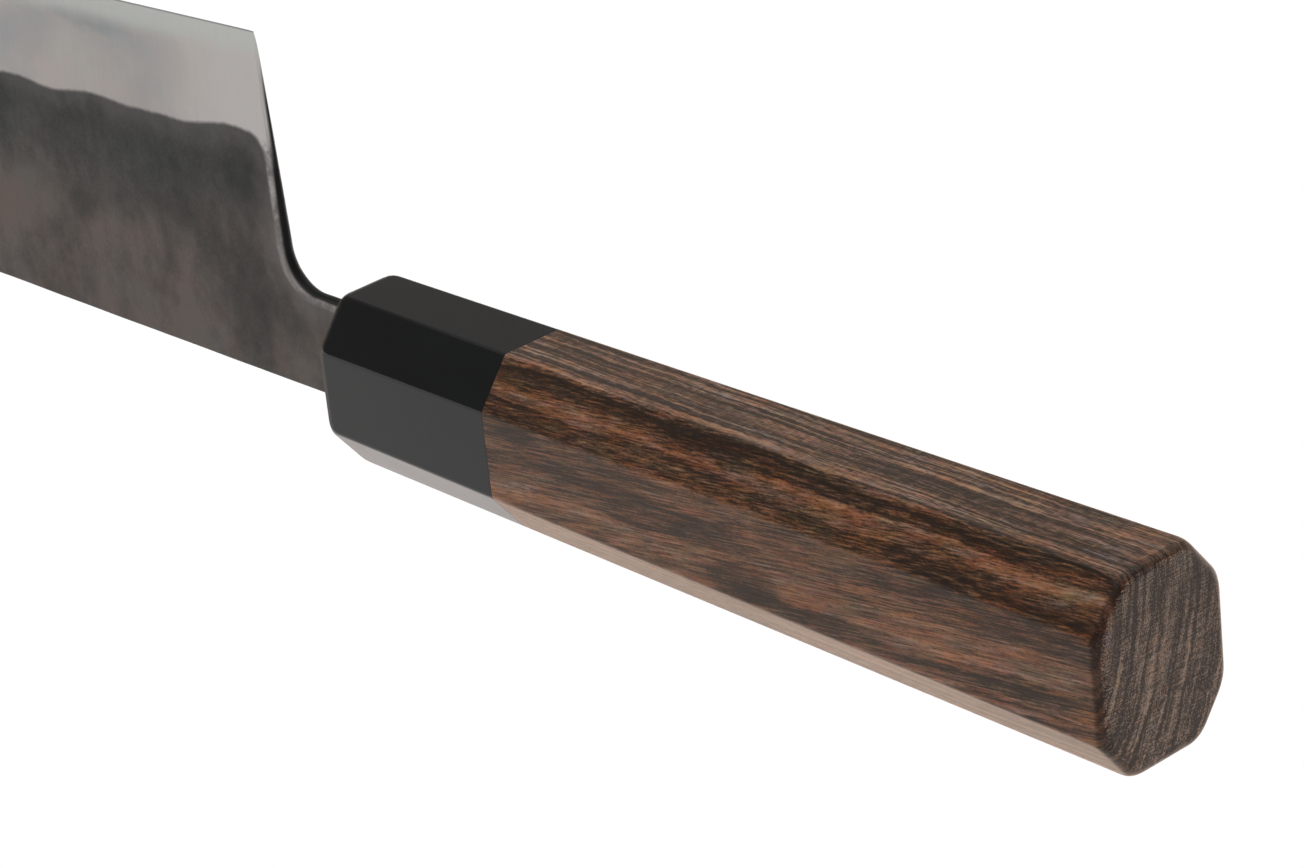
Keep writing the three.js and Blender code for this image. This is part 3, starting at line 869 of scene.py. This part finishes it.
class Shader:
    """One material's nodes. Lengths are in millimetres."""

    def __init__(self, name):
        self.material = bpy.data.materials.new(name)
        self.material.use_nodes = True
        self.tree = self.material.node_tree
        self.surface = self.tree.nodes["Principled BSDF"]
        place = self.tree.nodes.new("ShaderNodeTexCoord").outputs["Object"]
        self.place = self.vector("MULTIPLY", place, (1 / MM, 1 / MM, 1 / MM))

    def put(self, socket, value):
        if isinstance(value, bpy.types.NodeSocket):
            self.tree.links.new(value, socket)
        else:
            socket.default_value = value

    def vector(self, operation, a, b, output=0):
        node = self.tree.nodes.new("ShaderNodeVectorMath")
        node.operation = operation
        self.put(node.inputs[0], a)
        self.put(node.inputs[1], b)
        return node.outputs[output]

    def math(self, operation, a, b=0.0, clamp=False):
        node = self.tree.nodes.new("ShaderNodeMath")
        node.operation = operation
        node.use_clamp = clamp
        self.put(node.inputs[0], a)
        self.put(node.inputs[1], b)
        return node.outputs[0]

    def stretch(self, x, y, z, place=None):
        return self.vector("MULTIPLY", place or self.place, (1 / x, 1 / y, 1 / z))

    def sloped(self, slope):
        node = self.tree.nodes.new("ShaderNodeVectorRotate")
        node.rotation_type = "Y_AXIS"
        self.put(node.inputs["Vector"], self.place)
        self.put(node.inputs["Angle"], slope)
        return node.outputs[0]

    def near(self, centre, half_size, ragged):
        """1 at a place, falling to 0 about this far from it."""
        offset = self.stretch(*half_size, self.vector("SUBTRACT", self.place, centre))
        distance = self.vector("LENGTH", offset, (0, 0, 0), output=1)
        return self.ease(self.math("ADD", distance, ragged), FLECK_REACH, FLECK_CORE)

    def noise(self, place, detail=2.0, roughness=0.5, distortion=0.0):
        node = self.tree.nodes.new("ShaderNodeTexNoise")
        self.put(node.inputs["Vector"], place)
        self.put(node.inputs["Scale"], 1.0)
        self.put(node.inputs["Detail"], detail)
        self.put(node.inputs["Roughness"], roughness)
        self.put(node.inputs["Distortion"], distortion)
        return node.outputs[0]

    def sway(self, size, reach, place=None, detail=2.0):
        """Noise centred on zero, that reaches about this far each way."""
        centred = self.math("SUBTRACT", self.noise(self.stretch(*size, place), detail), NOISE_MEAN)
        return self.math("MULTIPLY", centred, 2 * reach)

    def layers(self, turns, per_turn, along, around):
        """Noise in thin layers that follow the growth rings."""
        node = self.tree.nodes.new("ShaderNodeSeparateXYZ")
        self.put(node.inputs[0], self.stretch(along, 1, around))
        place = self.tree.nodes.new("ShaderNodeCombineXYZ")
        self.put(place.inputs[0], node.outputs[0])
        self.put(place.inputs[1], node.outputs[2])
        self.put(place.inputs[2], self.math("MULTIPLY", turns, per_turn))
        return self.noise(place.outputs[0], 2)

    def along(self, axis=0):
        node = self.tree.nodes.new("ShaderNodeSeparateXYZ")
        self.put(node.inputs[0], self.place)
        return node.outputs[axis]

    def attribute(self, name):
        node = self.tree.nodes.new("ShaderNodeAttribute")
        node.attribute_name = name
        return node.outputs["Fac"]

    def ease(self, value, low, high, start=0.0, end=1.0):
        node = self.tree.nodes.new("ShaderNodeMapRange")
        node.interpolation_type = "SMOOTHSTEP"
        for socket, given in zip(node.inputs, (value, low, high, start, end)):
            self.put(socket, given)
        return node.outputs[0]

    def ramp(self, value, stops):
        node = self.tree.nodes.new("ShaderNodeValToRGB")
        self.put(node.inputs[0], value)
        elements = node.color_ramp.elements
        while len(elements) < len(stops):
            elements.new(1.0)
        for element, (position, code) in zip(elements, stops):
            element.position = position
            element.color = colour(code)
        return node.outputs["Color"]

    def blend(self, share, a, b):
        node = self.tree.nodes.new("ShaderNodeMix")
        node.data_type = "RGBA"
        colour_sockets = node.inputs[6:8]
        for socket, given in zip((node.inputs[0], *colour_sockets), (share, a, b)):
            self.put(socket, given)
        return node.outputs[2]

    def drift(self, base, size, lean, place=None):
        """A colour whose red, green and blue wander by about these shares, to either side."""
        level = self.noise(self.stretch(*size, place), detail=4, roughness=0.7)
        change = self.vector("MULTIPLY", self.math("SUBTRACT", level, NOISE_MEAN), lean)
        return self.vector("MULTIPLY", base, self.vector("ADD", change, (1, 1, 1)))

    def weigh(self, tone, parts):
        """A tone with noises laid over it, each with its own weight."""
        for part, weight in parts:
            centred = self.math("SUBTRACT", part, NOISE_MEAN)
            tone = self.math("ADD", tone, self.math("MULTIPLY", centred, weight))
        return tone

    def bump(self, height, distance):
        """height runs from 0 to 1, and stands for this many millimetres."""
        node = self.tree.nodes.new("ShaderNodeBump")
        self.put(node.inputs["Distance"], distance * MM)
        self.put(node.inputs["Height"], height)
        self.put(self.surface.inputs["Normal"], node.outputs["Normal"])

    def finish(self, **sockets):
        for name, value in sockets.items():
            label = name.replace("_", " ").title().replace("Ior", "IOR")
            self.put(self.surface.inputs[label], value)
        return self.material


def growth_rings(s):
    """Distance from the pith, and the same counted in rings that wander a little."""
    from_pith = s.vector("SUBTRACT", s.place, PITH)
    radius = s.vector("LENGTH", s.vector("CROSS_PRODUCT", from_pith, PITH_COURSE), (0, 0, 0), output=1)
    turns = s.math("ADD", s.math("DIVIDE", radius, RING_PITCH), RING_SHIFT)
    for size, reach in RING_SWAYS:
        turns = s.math("ADD", turns, s.sway(size, reach))
    return radius, turns


def wood_level(s, end, radius):
    """Mean tone of the wood: a little paler low on the right-hand side, paler lower facets as a painted
    reflection of the floor, and darker far from the pith and near the joint.
    """
    height = s.along(2)
    tone = s.math("ADD", s.ease(end, 0, 1, *TONE_LEVELS), s.ease(height, *PALE_HEIGHTS))
    shaded = s.ease(s.along(), X_JOINT + SHADE_RUN, X_JOINT, *SHADE_DEPTHS)
    tone = s.math("SUBTRACT", tone, s.math("MULTIPLY", s.ease(radius, *SHADE_RADII), shaded))
    # painted reflection of the floor: the lower facets are paler
    low = s.ease(height, FACET_HEIGHT + PAINTED_REFLECTION_SPREAD, FACET_HEIGHT - PAINTED_REFLECTION_SPREAD)
    return s.math("ADD", tone, s.math("MULTIPLY", low, s.ease(end, 0, 1, *PAINTED_REFLECTION_LEVELS)))


def wood_tone(s, end, fibre):
    """From 0 in the darkest streaks to 1 in the palest, and how greyed the wood is."""
    radius, turns = growth_rings(s)
    grain = s.sloped(GRAIN_SLOPE)
    band = s.math("ADD", s.math("SINE", s.math("MULTIPLY", turns, math.tau)), NOISE_MEAN)
    strength = s.math("MULTIPLY", s.ease(radius, *BOLD_RADII), s.ease(radius, *CALM_RADII))
    strength = s.math("MULTIPLY", strength, s.ease(end, 0, 1, *BAND_LEVELS))
    line = s.math("MULTIPLY", s.ease(radius, *FINE_RADII), s.ease(end, 0, 1, *LINE_LEVELS))
    ray = s.noise(s.stretch(*RAY_SIZE), roughness=0.6)
    parts = [(band, strength)]
    parts += [(s.layers(turns, *size), line) for size in LINE_SIZES]
    parts += [
        (s.noise(s.stretch(*CLOUD_SIZE, grain)), CLOUD_LEVEL),
        (fibre, s.ease(end, 0, 1, *FIBRE_LEVELS)),
        (ray, s.ease(end, 0, 1, *RAY_LEVELS)),
    ]
    tone = s.weigh(wood_level(s, end, radius), parts)
    ragged = s.sway(*FLECK_SWAY, grain)
    for place, half_size, change in FLECKS:
        tone = s.math("ADD", tone, s.math("MULTIPLY", s.near(place, half_size, ragged), change))
    return tone, s.math("MAXIMUM", end, s.ease(radius, *GREY_RADII))


def hardwood():
    """Dark striped hardwood: growth rings round a pith beside the handle, fibres, pores and rays."""
    s = Shader("hardwood")
    end = s.ease(s.along(), X_BUTT - END_GRAIN_START, X_BUTT - END_GRAIN_FULL)
    grain = s.sloped(GRAIN_SLOPE)
    fibre = s.noise(s.stretch(*FIBRE_SIZE, grain), detail=1.5, roughness=0.6)
    tone, greyed = wood_tone(s, end, fibre)
    figure = s.blend(greyed, s.ramp(tone, WARM_WOOD), s.ramp(tone, GREY_WOOD))
    varied = figure
    for size, lean in WOOD_DRIFTS:
        varied = s.drift(varied, size, lean, grain)
    figure = s.blend(s.math("MULTIPLY", end, DRIFT_LOSS), varied, figure)
    pores = s.ease(s.noise(s.stretch(*PORE_SIZE, grain), detail=1), *PORE_EDGE)
    figure = s.blend(s.math("MULTIPLY", pores, PORE_SHARE), figure, colour(WOOD_PORE))
    # painted shade on the rounded edge round the butt, stopping short of its end grain
    border = s.math("SUBTRACT", s.ease(s.along(), X_BUTT - EDGE_SHADE_START, X_BUTT - EDGE_SHADE_FULL), end)
    figure = s.blend(s.math("MULTIPLY", border, EDGE_SHADE_SHARE), figure, colour(BUTT_EDGE_SHADE))
    s.bump(s.math("SUBTRACT", fibre, s.math("MULTIPLY", pores, PORE_SINK)), WOOD_RELIEF)
    return s.finish(base_color=figure, roughness=s.ease(fibre, *WOOD_ROUGH), specular_ior_level=0.17,
                    sheen_weight=0.94, sheen_roughness=0.33, sheen_tint=colour(WOOD_SHEEN))


def horn():
    """Black buffalo horn, polished but for the rounding of the mouth, with a faint fibre along it."""
    s = Shader("horn")
    streak = s.noise(s.stretch(*HORN_STREAK), detail=3, roughness=0.6)
    cloud = s.noise(s.stretch(*HORN_CLOUD))
    shade = s.math("ADD", s.math("MULTIPLY", streak, STREAK_SHARE),
                   s.math("MULTIPLY", cloud, 1 - STREAK_SHARE))
    base = s.ramp(shade, HORN_TONES)
    from_mouth = s.math("DIVIDE", s.math("SUBTRACT", s.along(), X_MOUTH), MOUTH_ROUND)
    matte = s.math("MULTIPLY", s.ease(from_mouth, *MATTE_END), s.ease(from_mouth, *MATTE_START))
    rough = s.math("ADD", s.ease(cloud, *HORN_ROUGH), s.math("MULTIPLY", matte, MATTE_ROUGH))
    s.bump(s.noise(s.stretch(*HORN_FIBRE)), HORN_RELIEF)
    return s.finish(base_color=base, roughness=rough, specular_ior_level=0.29,
                    sheen_weight=0.3, sheen_roughness=0.28, sheen_tint=colour(HORN_SHEEN))


def satin_steel(s, stops):
    """Colour, grinding lines and roughness of ground steel, which is paler towards the edge."""
    tint = s.noise(s.stretch(*TINT_SIZE), detail=3, distortion=0.5)
    grind = s.noise(s.stretch(*GRIND_SIZE), detail=3, roughness=0.6)
    steel = s.drift(s.ramp(tint, stops), *STEEL_DRIFT)
    stain = s.near(STAIN_PLACE, STAIN_SIZE, s.sway(*STAIN_SWAY))
    steel = s.blend(s.math("MULTIPLY", stain, STAIN_SHARE), steel, colour(STAIN_COLOUR))
    steel = s.blend(s.math("MULTIPLY", grind, GRIND_SHARE), steel, colour(GRIND_COLOUR))
    from_heel = s.math("SUBTRACT", X_HEEL, s.along())
    steel = s.blend(s.ease(from_heel, *HEEL_PALE), steel, colour(HEEL_COLOUR))
    honed = s.math("ADD", s.attribute("honed"), s.sway(*HONED_SWAY))
    steel = s.blend(s.ease(honed, *HONED_BLEND), steel, colour(HONED_COLOUR))
    return steel, grind, s.ease(grind, *STEEL_ROUGH)


def forge_scale(s, bevel):
    """Colour of the scale, grey and darker under the bevel and brown lower down, and its specks."""
    streak = s.noise(s.stretch(*STREAK_SIZE))
    mottle = s.noise(s.stretch(*MOTTLE_SIZE), distortion=0.4)
    patch = s.noise(s.stretch(*PATCH_SIZE), detail=3, roughness=0.6)
    speck = s.noise(s.stretch(*SPECK_SIZE), roughness=0.6)
    from_heel = s.math("SUBTRACT", X_HEEL, s.along())
    shade = s.math("SUBTRACT", SCALE_LEVEL, s.ease(bevel, *SCALE_DARKENS))
    worn = s.math("MULTIPLY", s.ease(bevel, *SCALE_WEARS), s.ease(from_heel, *HEEL_WORN))
    shade = s.math("ADD", shade, s.math("MULTIPLY", worn, WORN_GAIN))
    shade = s.math("ADD", shade, s.ease(s.along(), X_HEEL - NECK_PALE, X_MOUTH, 0.0, NECK_GAIN))
    shade = s.weigh(shade, zip((streak, mottle, patch, speck), SCALE_WEIGHTS))
    cool = s.math("ADD", s.ease(bevel, *SCALE_COOLS), s.sway(*COOL_SWAY), clamp=True)
    scale = s.blend(cool, s.ramp(shade, BROWN_SCALE), s.ramp(shade, GREY_SCALE))
    return s.drift(scale, *SCALE_DRIFT), speck


def bare_metal(s, bevel, dark):
    """1 on the bevel and the rubbed strip beside the choil, 0 on the scale and the black flats."""
    reach = s.attribute("bare")
    for sway in BARE_SWAYS:
        reach = s.math("ADD", reach, s.sway(*sway))
    bare = s.math("MULTIPLY", s.ease(reach, *BARE_EDGE), s.ease(bevel, *BARE_FADE))
    rubbed = s.ease(s.noise(s.stretch(*RUBBED_SIZE), detail=3, roughness=0.6), *RUBBED_PATCHES)
    bare = s.math("MULTIPLY", bare, s.math("MAXIMUM", rubbed, s.ease(bevel, *RUBBED_NEAR)))
    return s.math("MULTIPLY", bare, s.math("SUBTRACT", 1.0, dark))


def clad_iron():
    """Iron cladding: forge scale, worn bare beside the choil, and a satin bevel ground through it."""
    s = Shader("clad_iron")
    bevel = s.attribute("bevel")
    # black flats: scale, and painted shade where they reach into the ground bevel across the choil
    dark = s.math("MULTIPLY", s.attribute("border"), s.ease(s.attribute("honed"), *BLACK_END))
    bare = bare_metal(s, bevel, dark)
    scale, speck = forge_scale(s, bevel)
    frayed = s.math("ADD", s.attribute("bare"), s.sway(*FRAYED_SWAY, detail=3))
    scale = s.blend(s.ease(frayed, *FRAYED_REACH), scale, colour(FRAYED_SCALE))
    scale = s.blend(dark, scale, colour(BLACK_SCALE_AND_SHADE))
    steel, grind, rough_steel = satin_steel(s, IRON_TONES)
    rough_scale = s.ease(speck, *SCALE_ROUGH)
    rough = s.math("ADD", rough_scale, s.math("MULTIPLY", bare, s.math("SUBTRACT", rough_steel, rough_scale)))
    pits = s.math("MULTIPLY", speck, s.math("SUBTRACT", 1.0, bare))
    s.bump(s.math("ADD", pits, s.math("MULTIPLY", grind, GRIND_RELIEF)), IRON_RELIEF)
    base = s.blend(bare, scale, steel)
    return s.finish(base_color=base, metallic=bare, roughness=rough, specular_ior_level=0.2)


def core_steel():
    """Hardened core: ground at the edge, and black where it shows on the spine and low on the choil. Where
    that black reaches over ground steel on the choil, it is painted shade.
    """
    s = Shader("core_steel")
    honed = s.ease(s.attribute("honed"), *HONED_EDGE)
    # black across the choil: scale low down, painted shade where it covers ground steel
    clean = s.ease(s.attribute("black"), 1, 0)
    choil = s.ease(s.attribute("choil"), 0.9, 1)
    ground = s.math("ADD", s.math("MULTIPLY", honed, s.math("SUBTRACT", 1.0, choil)),
                    s.math("MULTIPLY", clean, choil))
    steel, grind, rough = satin_steel(s, CORE_TONES)
    steel = s.blend(s.ease(s.attribute("edge"), *EDGE_LINE), steel, colour(EDGE_COLOUR))
    base = s.blend(ground, colour(BLACK_SCALE_AND_SHADE), steel)
    s.bump(grind, CORE_RELIEF)
    rough = s.math("ADD", rough, s.ease(ground, 0, 1, BLACK_ROUGH, 0.0))
    return s.finish(base_color=base, metallic=ground, roughness=rough, specular_ior_level=0.12)


def dowel_wood():
    s = Shader("dowel_wood")
    fibre = s.noise(s.stretch(*DOWEL_FIBRE), detail=4, roughness=0.6)
    s.bump(fibre, DOWEL_RELIEF)
    return s.finish(base_color=s.ramp(fibre, DOWEL_TONES), roughness=s.ease(fibre, *DOWEL_ROUGH))


def resin():
    s = Shader("resin")
    cloud = s.noise(s.stretch(*RESIN_CLOUD), detail=3, roughness=0.6)
    s.bump(cloud, RESIN_RELIEF)
    return s.finish(base_color=s.ramp(cloud, RESIN_TONES), roughness=s.ease(cloud, *RESIN_ROUGH))


# Studio


def floor_glow(tree):
    """The floor's own light, by the distance from its middle."""
    place = tree.nodes.new("ShaderNodeTexCoord").outputs["Object"]
    distance = tree.nodes.new("ShaderNodeVectorMath")
    distance.operation = "LENGTH"
    tree.links.new(place, distance.inputs[0])
    glow = tree.nodes.new("ShaderNodeMapRange")
    tree.links.new(distance.outputs["Value"], glow.inputs[0])
    for socket, value in zip(glow.inputs[1:], FLOOR_GLOW):
        socket.default_value = value
    return glow.outputs[0]


def combine(tree, operation, a, b):
    node = tree.nodes.new("ShaderNodeMath")
    node.operation = operation
    tree.links.new(a, node.inputs[0])
    tree.links.new(b, node.inputs[1])
    return node.outputs[0]


def floor_material():
    """Plain pale floor that the camera and reflections see as white. It takes a soft shadow."""
    material = bpy.data.materials.new("pale_floor")
    material.use_nodes = True
    tree = material.node_tree
    tree.nodes.clear()
    path = tree.nodes.new("ShaderNodeLightPath")
    seen = path.outputs["Is Camera Ray"]
    for name in ("Is Glossy Ray", "Is Transmission Ray"):
        seen = combine(tree, "MAXIMUM", seen, path.outputs[name])
    paper = tree.nodes.new("ShaderNodeBsdfDiffuse")
    paper.inputs["Color"].default_value = FLOOR_COLOUR
    light = tree.nodes.new("ShaderNodeEmission")
    tree.links.new(combine(tree, "MULTIPLY", seen, floor_glow(tree)), light.inputs["Strength"])
    both = tree.nodes.new("ShaderNodeAddShader")
    tree.links.new(paper.outputs[0], both.inputs[0])
    tree.links.new(light.outputs[0], both.inputs[1])
    output = tree.nodes.new("ShaderNodeOutputMaterial")
    tree.links.new(both.outputs[0], output.inputs["Surface"])
    return material


def build_floor():
    """A wide round floor below the knife, with a low rim that closes the horizon."""
    turns = [math.tau * i / FLOOR_SIDES for i in range(FLOOR_SIDES)]
    profile = [(0.0, 0.0), (FLOOR_RADIUS, 0.0)]
    for share in spread(0, 1, RIM_STEPS)[1:]:
        turn = math.radians(90) * share
        radius = mix(FLOOR_RADIUS, RIM_RADIUS, math.sin(turn))
        profile.append((radius, RIM_HEIGHT * (1 - math.cos(turn))))
    skin = Skin()
    rings = [[Vector((r * math.cos(t), r * math.sin(t), z)) / MM for t in turns] for r, z in profile]
    skin.rings(rings)
    bmesh.ops.remove_doubles(skin.mesh, verts=skin.mesh.verts[:], dist=WELD * MM)
    floor = skin.piece("floor", floor_material())
    floor.location.z = cad_bounds[0].z - FLOOR_DROP


def build_lights():
    world = bpy.data.worlds.new("studio")
    world.use_nodes = True
    background = world.node_tree.nodes["Background"]
    background.inputs["Color"].default_value = (1.0, 1.0, 1.0, 1.0)
    background.inputs["Strength"].default_value = WORLD_LEVEL
    bpy.context.scene.world = world
    lamp = bpy.data.lights.new("overhead", "SUN")
    lamp.energy = SUN_LEVEL
    lamp.angle = SUN_ANGLE
    overhead = bpy.data.objects.new("overhead", lamp)
    bpy.context.scene.collection.objects.link(overhead)


def build_camera():
    data = bpy.data.cameras.new("camera")
    data.sensor_width = SENSOR_WIDTH
    data.lens = FOCAL_PIXELS * SENSOR_WIDTH / IMAGE_WIDTH
    right = Vector((math.cos(CAMERA_AZIMUTH), math.sin(CAMERA_AZIMUTH), 0))
    away = Vector((right.y, -right.x, 0))
    back = away * math.cos(CAMERA_ELEVATION) + Vector((0, 0, math.sin(CAMERA_ELEVATION)))
    up = back.cross(right)
    turned_right = math.cos(CAMERA_ROLL) * right + math.sin(CAMERA_ROLL) * up
    turned_up = math.cos(CAMERA_ROLL) * up - math.sin(CAMERA_ROLL) * right
    axes = Matrix((turned_right, turned_up, back)).transposed().to_4x4()
    camera = bpy.data.objects.new("camera", data)
    camera.matrix_world = Matrix.Translation(CAMERA_PLACE) @ axes
    bpy.context.scene.collection.objects.link(camera)
    bpy.context.scene.camera = camera


# Assembly


def stand_for(piece, node):
    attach(piece, "root")
    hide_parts(node)


def repaint(node, material):
    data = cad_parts[node].data
    data.materials.clear()
    data.materials.append(material)


iron = clad_iron()
stand_for(build_ferrule(horn()), "ferrule")
stand_for(build_body(hardwood()), "handle_body")
stand_for(build_cladding("forged_cladding_right", -1, iron), "cladding_right")
stand_for(build_cladding("forged_cladding_left", 1, iron), "cladding_left")
stand_for(build_core(core_steel()), "core_steel")
repaint("inner_dowel", dowel_wood())
repaint("tang_resin", resin())

build_floor()
build_lights()
build_camera()
bpy.context.scene.view_settings.view_transform = "Standard"
